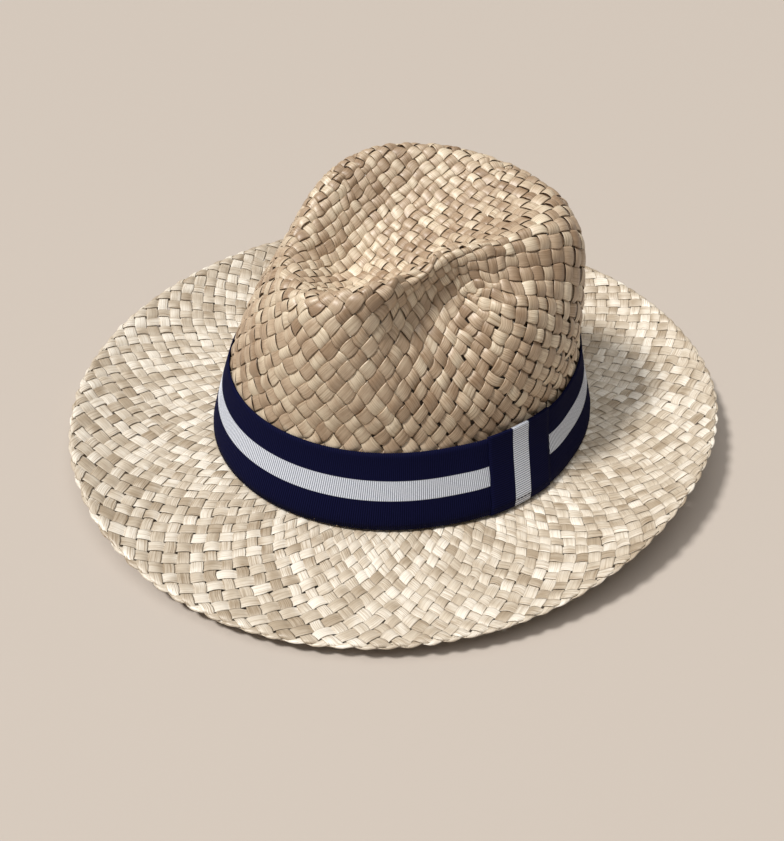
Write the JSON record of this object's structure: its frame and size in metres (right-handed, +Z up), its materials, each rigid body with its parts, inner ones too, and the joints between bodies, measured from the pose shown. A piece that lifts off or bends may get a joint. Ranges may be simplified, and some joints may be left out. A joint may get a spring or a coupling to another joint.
{
  "type": "straw fedora",
  "caption": "Woven straw fedora with a dented, pinched crown, an upturned brim and a striped ribbon held by a folded keeper tab; worn on the head.",
  "frame": {"origin": "middle of the hat's outline, on the surface that it rests on", "axes": "+Z up through the crown, the pinched front of the crown faces -Y, +X is the wearer's left"},
  "size_m": [0.3094, 0.338, 0.1258],
  "materials": {
    "straw": "flat palm strips plaited over and under, pale cream to tan",
    "ribbon": "ribbed grosgrain, navy with one white stripe along its middle"
  },
  "bodies": {
    "root": {"crown": "straw", "brim": "straw", "ribbon_band": "ribbon", "ribbon_tab": "ribbon"}
  },
  "joints": []
}
